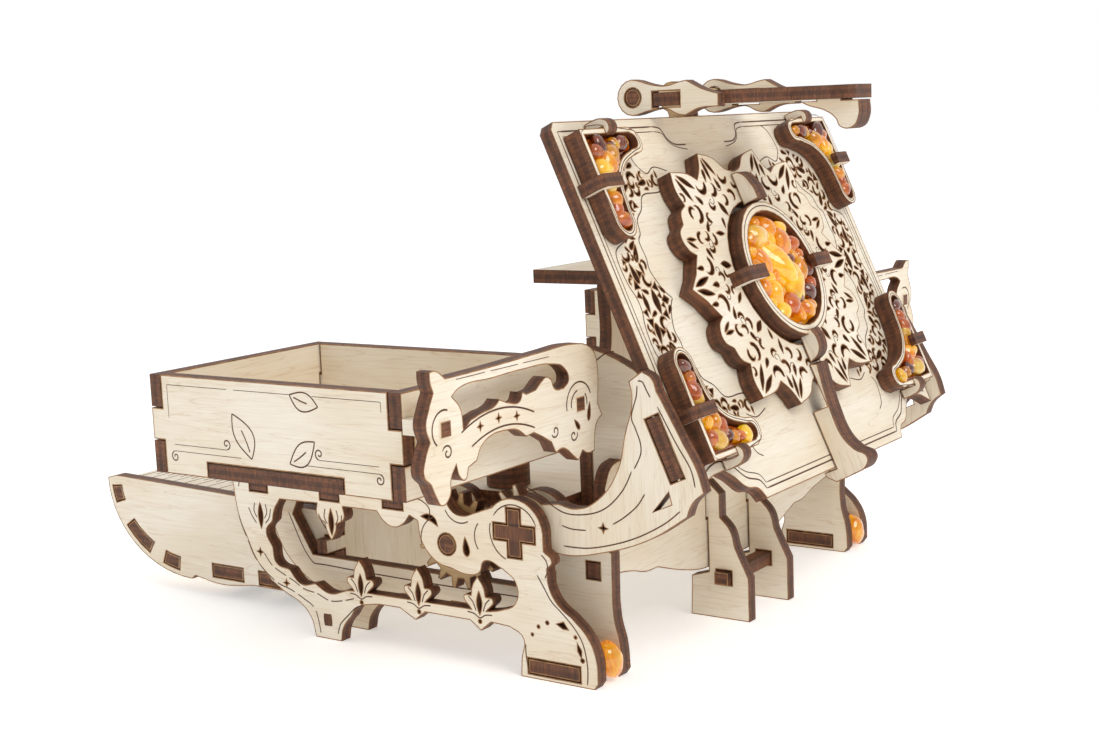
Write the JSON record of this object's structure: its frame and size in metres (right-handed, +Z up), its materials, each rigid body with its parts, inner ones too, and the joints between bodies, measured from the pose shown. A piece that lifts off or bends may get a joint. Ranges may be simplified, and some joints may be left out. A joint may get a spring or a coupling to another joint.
{
  "type": "wooden puzzle box",
  "caption": "Laser-cut plywood jewellery box shown open: geared tilting lid with amber settings, swing-out trays, sliding drawer and sinking stand.",
  "frame": {"origin": "centre of the bounding box at the level the feet stand on", "axes": "+X from the drawer's nose towards the open lid, +Y across the box from the near side to the far side, +Z up"},
  "size_m": [0.1967, 0.228, 0.1262],
  "materials": {
    "near_outer_side_plate_mat": "raw birch plywood, matt",
    "far_outer_side_plate_mat": "raw birch plywood, matt",
    "near_inner_side_plate_mat": "raw birch plywood, matt",
    "far_inner_side_plate_mat": "raw birch plywood, matt",
    "near_foot_block_mat": "laser-burnt plywood edge",
    "far_foot_block_mat": "laser-burnt plywood edge",
    "near_foot_stone_mat": "clear polished amber",
    "far_foot_stone_mat": "clear polished amber",
    "near_cross_axle_mat": "laser-burnt plywood edge",
    "far_cross_axle_mat": "laser-burnt plywood edge",
    "near_hinge_post_mat": "laser-burnt plywood edge",
    "far_hinge_post_mat": "laser-burnt plywood edge",
    "near_spine_plate_mat": "raw birch plywood, matt",
    "far_spine_plate_mat": "raw birch plywood, matt",
    "near_guide_cheek_mat": "raw birch plywood, matt",
    "far_guide_cheek_mat": "raw birch plywood, matt",
    "deck_plate_mat": "raw birch plywood, matt",
    "rear_wall_mat": "raw birch plywood, matt",
    "spine_crossbar_mat": "laser-burnt plywood edge",
    "lid_plate_mat": "raw birch plywood, matt",
    "near_lid_arm_mat": "raw birch plywood, matt",
    "far_lid_arm_mat": "raw birch plywood, matt",
    "near_lower_corner_bezel_mat": "laser-burnt plywood edge",
    "far_lower_corner_bezel_mat": "laser-burnt plywood edge",
    "near_lower_corner_stones_mat": "clear polished amber",
    "far_lower_corner_stones_mat": "clear polished amber",
    "near_upper_corner_bezel_mat": "laser-burnt plywood edge",
    "far_upper_corner_bezel_mat": "laser-burnt plywood edge",
    "near_upper_corner_stones_mat": "clear polished amber",
    "far_upper_corner_stones_mat": "clear polished amber",
    "lid_rosette_mat": "raw birch plywood, matt",
    "medallion_bezel_mat": "laser-burnt plywood edge",
    "medallion_stone_mat": "clear polished amber",
    "lower_fin_mat": "raw birch plywood, matt",
    "upper_fin_mat": "raw birch plywood, matt",
    "latch_lug_mat": "raw birch plywood, toned",
    "near_latch_cheek_mat": "raw birch plywood, matt",
    "far_latch_cheek_mat": "raw birch plywood, matt",
    "latch_tongue_mat": "raw birch plywood, matt",
    "latch_hook_mat": "raw birch plywood, matt",
    "near_tray_front_wall_mat": "raw birch plywood, matt",
    "near_tray_back_wall_mat": "raw birch plywood, matt",
    "near_tray_left_wall_mat": "raw birch plywood, matt",
    "near_tray_right_wall_mat": "raw birch plywood, matt",
    "near_tray_floor_mat": "raw birch plywood, matt",
    "near_tray_panel_mat": "raw birch plywood, matt",
    "far_tray_front_wall_mat": "raw birch plywood, matt",
    "far_tray_back_wall_mat": "raw birch plywood, matt",
    "far_tray_left_wall_mat": "raw birch plywood, matt",
    "far_tray_right_wall_mat": "raw birch plywood, matt",
    "far_tray_floor_mat": "raw birch plywood, matt",
    "far_tray_panel_mat": "raw birch plywood, matt",
    "drawer_sheet_mat": "raw birch plywood, matt",
    "near_drawer_side_mat": "raw birch plywood, matt",
    "far_drawer_side_mat": "raw birch plywood, matt",
    "drawer_back_mat": "raw birch plywood, matt",
    "stand_plate_mat": "raw birch plywood, matt",
    "stand_post_mat": "raw birch plywood, matt",
    "near_idler_gear_mat": "raw birch plywood, toned",
    "far_idler_gear_mat": "raw birch plywood, toned"
  },
  "bodies": {
    "frame": {"near_outer_side_plate": "near_outer_side_plate_mat", "far_outer_side_plate": "far_outer_side_plate_mat", "near_inner_side_plate": "near_inner_side_plate_mat", "far_inner_side_plate": "far_inner_side_plate_mat", "near_foot_block": "near_foot_block_mat", "far_foot_block": "far_foot_block_mat", "near_foot_stone": "near_foot_stone_mat", "far_foot_stone": "far_foot_stone_mat", "near_cross_axle": "near_cross_axle_mat", "far_cross_axle": "far_cross_axle_mat", "near_hinge_post": "near_hinge_post_mat", "far_hinge_post": "far_hinge_post_mat", "near_spine_plate": "near_spine_plate_mat", "far_spine_plate": "far_spine_plate_mat", "near_guide_cheek": "near_guide_cheek_mat", "far_guide_cheek": "far_guide_cheek_mat", "deck_plate": "deck_plate_mat", "rear_wall": "rear_wall_mat", "spine_crossbar": "spine_crossbar_mat"},
    "lid": {"lid_plate": "lid_plate_mat", "near_lid_arm": "near_lid_arm_mat", "far_lid_arm": "far_lid_arm_mat", "near_lower_corner_bezel": "near_lower_corner_bezel_mat", "far_lower_corner_bezel": "far_lower_corner_bezel_mat", "near_lower_corner_stones": "near_lower_corner_stones_mat", "far_lower_corner_stones": "far_lower_corner_stones_mat", "near_upper_corner_bezel": "near_upper_corner_bezel_mat", "far_upper_corner_bezel": "far_upper_corner_bezel_mat", "near_upper_corner_stones": "near_upper_corner_stones_mat", "far_upper_corner_stones": "far_upper_corner_stones_mat", "lid_rosette": "lid_rosette_mat", "medallion_bezel": "medallion_bezel_mat", "medallion_stone": "medallion_stone_mat", "lower_fin": "lower_fin_mat", "upper_fin": "upper_fin_mat", "latch_lug": "latch_lug_mat"},
    "latch": {"near_latch_cheek": "near_latch_cheek_mat", "far_latch_cheek": "far_latch_cheek_mat", "latch_tongue": "latch_tongue_mat", "latch_hook": "latch_hook_mat"},
    "near_tray": {"near_tray_front_wall": "near_tray_front_wall_mat", "near_tray_back_wall": "near_tray_back_wall_mat", "near_tray_left_wall": "near_tray_left_wall_mat", "near_tray_right_wall": "near_tray_right_wall_mat", "near_tray_floor": "near_tray_floor_mat", "near_tray_panel": "near_tray_panel_mat"},
    "far_tray": {"far_tray_front_wall": "far_tray_front_wall_mat", "far_tray_back_wall": "far_tray_back_wall_mat", "far_tray_left_wall": "far_tray_left_wall_mat", "far_tray_right_wall": "far_tray_right_wall_mat", "far_tray_floor": "far_tray_floor_mat", "far_tray_panel": "far_tray_panel_mat"},
    "drawer": {"drawer_sheet": "drawer_sheet_mat", "near_drawer_side": "near_drawer_side_mat", "far_drawer_side": "far_drawer_side_mat", "drawer_back": "drawer_back_mat"},
    "stand": {"stand_plate": "stand_plate_mat", "stand_post": "stand_post_mat"},
    "near_gear": {"near_idler_gear": "near_idler_gear_mat"},
    "far_gear": {"far_idler_gear": "far_idler_gear_mat"}
  },
  "joints": [
    {"name": "lid_hinge", "type": "hinge", "parent": "frame", "child": "lid", "pos_m": [0.0462, 0, 0.0315], "axis": [0, -1, 0], "range_deg": [0, 66]},
    {"name": "near_tray_swing", "type": "hinge", "parent": "frame", "child": "near_tray", "pos_m": [0.03095, -0.04805, 0.0476], "axis": [0, 0, -1], "range_deg": [0, 90]},
    {"name": "far_tray_swing", "type": "hinge", "parent": "frame", "child": "far_tray", "pos_m": [0.03095, 0.04805, 0.0476], "axis": [0, 0, 1], "range_deg": [0, 90]},
    {"name": "near_gear_turn", "type": "hinge", "parent": "frame", "child": "near_gear", "pos_m": [0.0278, -0.0621, 0.027], "axis": [0, 1, 0], "range_deg": [0, 58]},
    {"name": "far_gear_turn", "type": "hinge", "parent": "frame", "child": "far_gear", "pos_m": [0.0278, 0.0621, 0.027], "axis": [0, 1, 0], "range_deg": [0, 58]},
    {"name": "stand_sink", "type": "slide", "parent": "frame", "child": "stand", "axis": [0, 0, -1], "range_m": [0, 0.028]},
    {"name": "drawer_slide", "type": "slide", "parent": "frame", "child": "drawer", "axis": [1, 0, 0], "range_m": [0, 0.0665]},
    {"name": "latch_hinge", "type": "hinge", "parent": "lid", "child": "latch", "pos_m": [0.0501, 0, 0.1221], "axis": [0, -1, 0], "range_deg": [0, 150]}
  ],
  "couplings": [
    {"joint": "near_tray_swing", "follows": "lid_hinge", "ratio": 1.3636},
    {"joint": "far_tray_swing", "follows": "lid_hinge", "ratio": 1.3636},
    {"joint": "near_gear_turn", "follows": "lid_hinge", "ratio": 0.875},
    {"joint": "far_gear_turn", "follows": "lid_hinge", "ratio": 0.875},
    {"joint": "stand_sink", "follows": "lid_hinge", "m_per_rad": 0.0243},
    {"joint": "drawer_slide", "follows": "lid_hinge", "m_per_rad": 0.0577}
  ]
}
